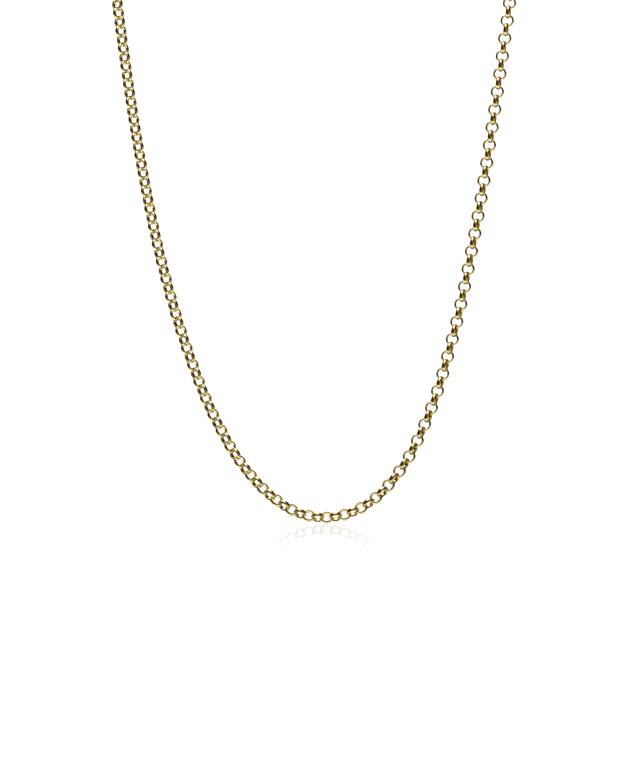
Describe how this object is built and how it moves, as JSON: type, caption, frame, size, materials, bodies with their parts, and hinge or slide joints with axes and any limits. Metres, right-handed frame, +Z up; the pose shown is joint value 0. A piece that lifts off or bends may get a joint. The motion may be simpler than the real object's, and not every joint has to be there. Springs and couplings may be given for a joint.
{
  "type": "belcher chain necklace",
  "caption": "Necklace of round interlocking domed-wire links in polished yellow gold, hanging in its worn form from the neck, with a plain ring clasp at the nape.",
  "frame": {"origin": "middle of the neck hollow, at the height where the arms of the chain turn back over the shoulders", "axes": "+Z up along the neck, -Y to the front where the drop hangs, +X to the right as seen from the front"},
  "size_m": [0.0945, 0.0676, 0.1419],
  "materials": {
    "polished_gold": "polished"
  },
  "bodies": {
    "root": {"chain": "polished_gold", "clasp": "polished_gold"}
  },
  "joints": []
}
